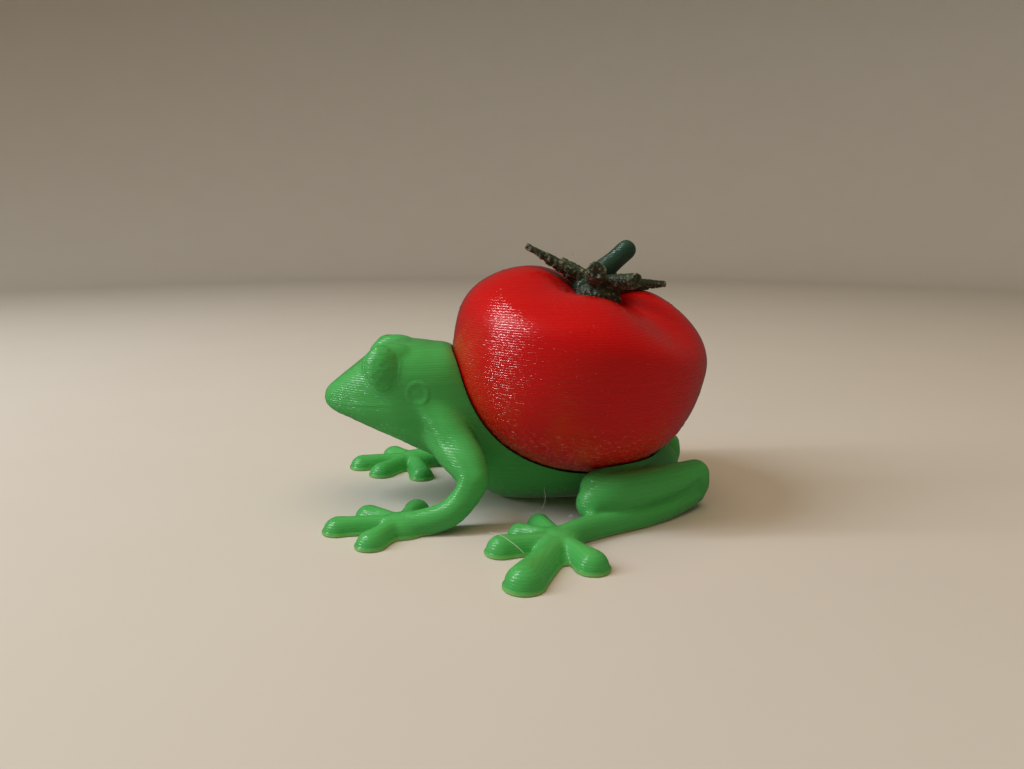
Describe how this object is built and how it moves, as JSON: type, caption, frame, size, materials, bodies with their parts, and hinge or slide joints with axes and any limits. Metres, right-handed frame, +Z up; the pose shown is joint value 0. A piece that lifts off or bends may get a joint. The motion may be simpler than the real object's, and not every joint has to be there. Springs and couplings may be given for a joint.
{
  "type": "toy frog carrying a tomato",
  "caption": "Small printed toy frog that sits with a lobed tomato held in a cup in its back; the tomato wears a ragged dark green calyx with a leaning stem.",
  "frame": {"origin": "on the floor under the middle of the whole toy", "axes": "the frog faces -Y, its own left side is +X, +Z is up"},
  "size_m": [0.0414, 0.0345, 0.0233],
  "materials": {
    "green_pla": "satin, printed in layers",
    "red_pla": "satin, printed in layers",
    "dark_green_pla": "satin, printed in layers, ragged edges"
  },
  "bodies": {
    "root": {"head": "green_pla", "torso": "green_pla", "upper_arm_left": "green_pla", "upper_arm_right": "green_pla", "forearm_left": "green_pla", "forearm_right": "green_pla", "hand_left": "green_pla", "hand_right": "green_pla", "thigh_left": "green_pla", "thigh_right": "green_pla", "shank_left": "green_pla", "shank_right": "green_pla", "tarsus_left": "green_pla", "tarsus_right": "green_pla", "foot_left": "green_pla", "foot_right": "green_pla", "eye_left": "green_pla", "eye_right": "green_pla", "eardrum_left": "green_pla", "eardrum_right": "green_pla", "tomato": "red_pla", "calyx": "dark_green_pla", "stem": "dark_green_pla"}
  },
  "joints": []
}
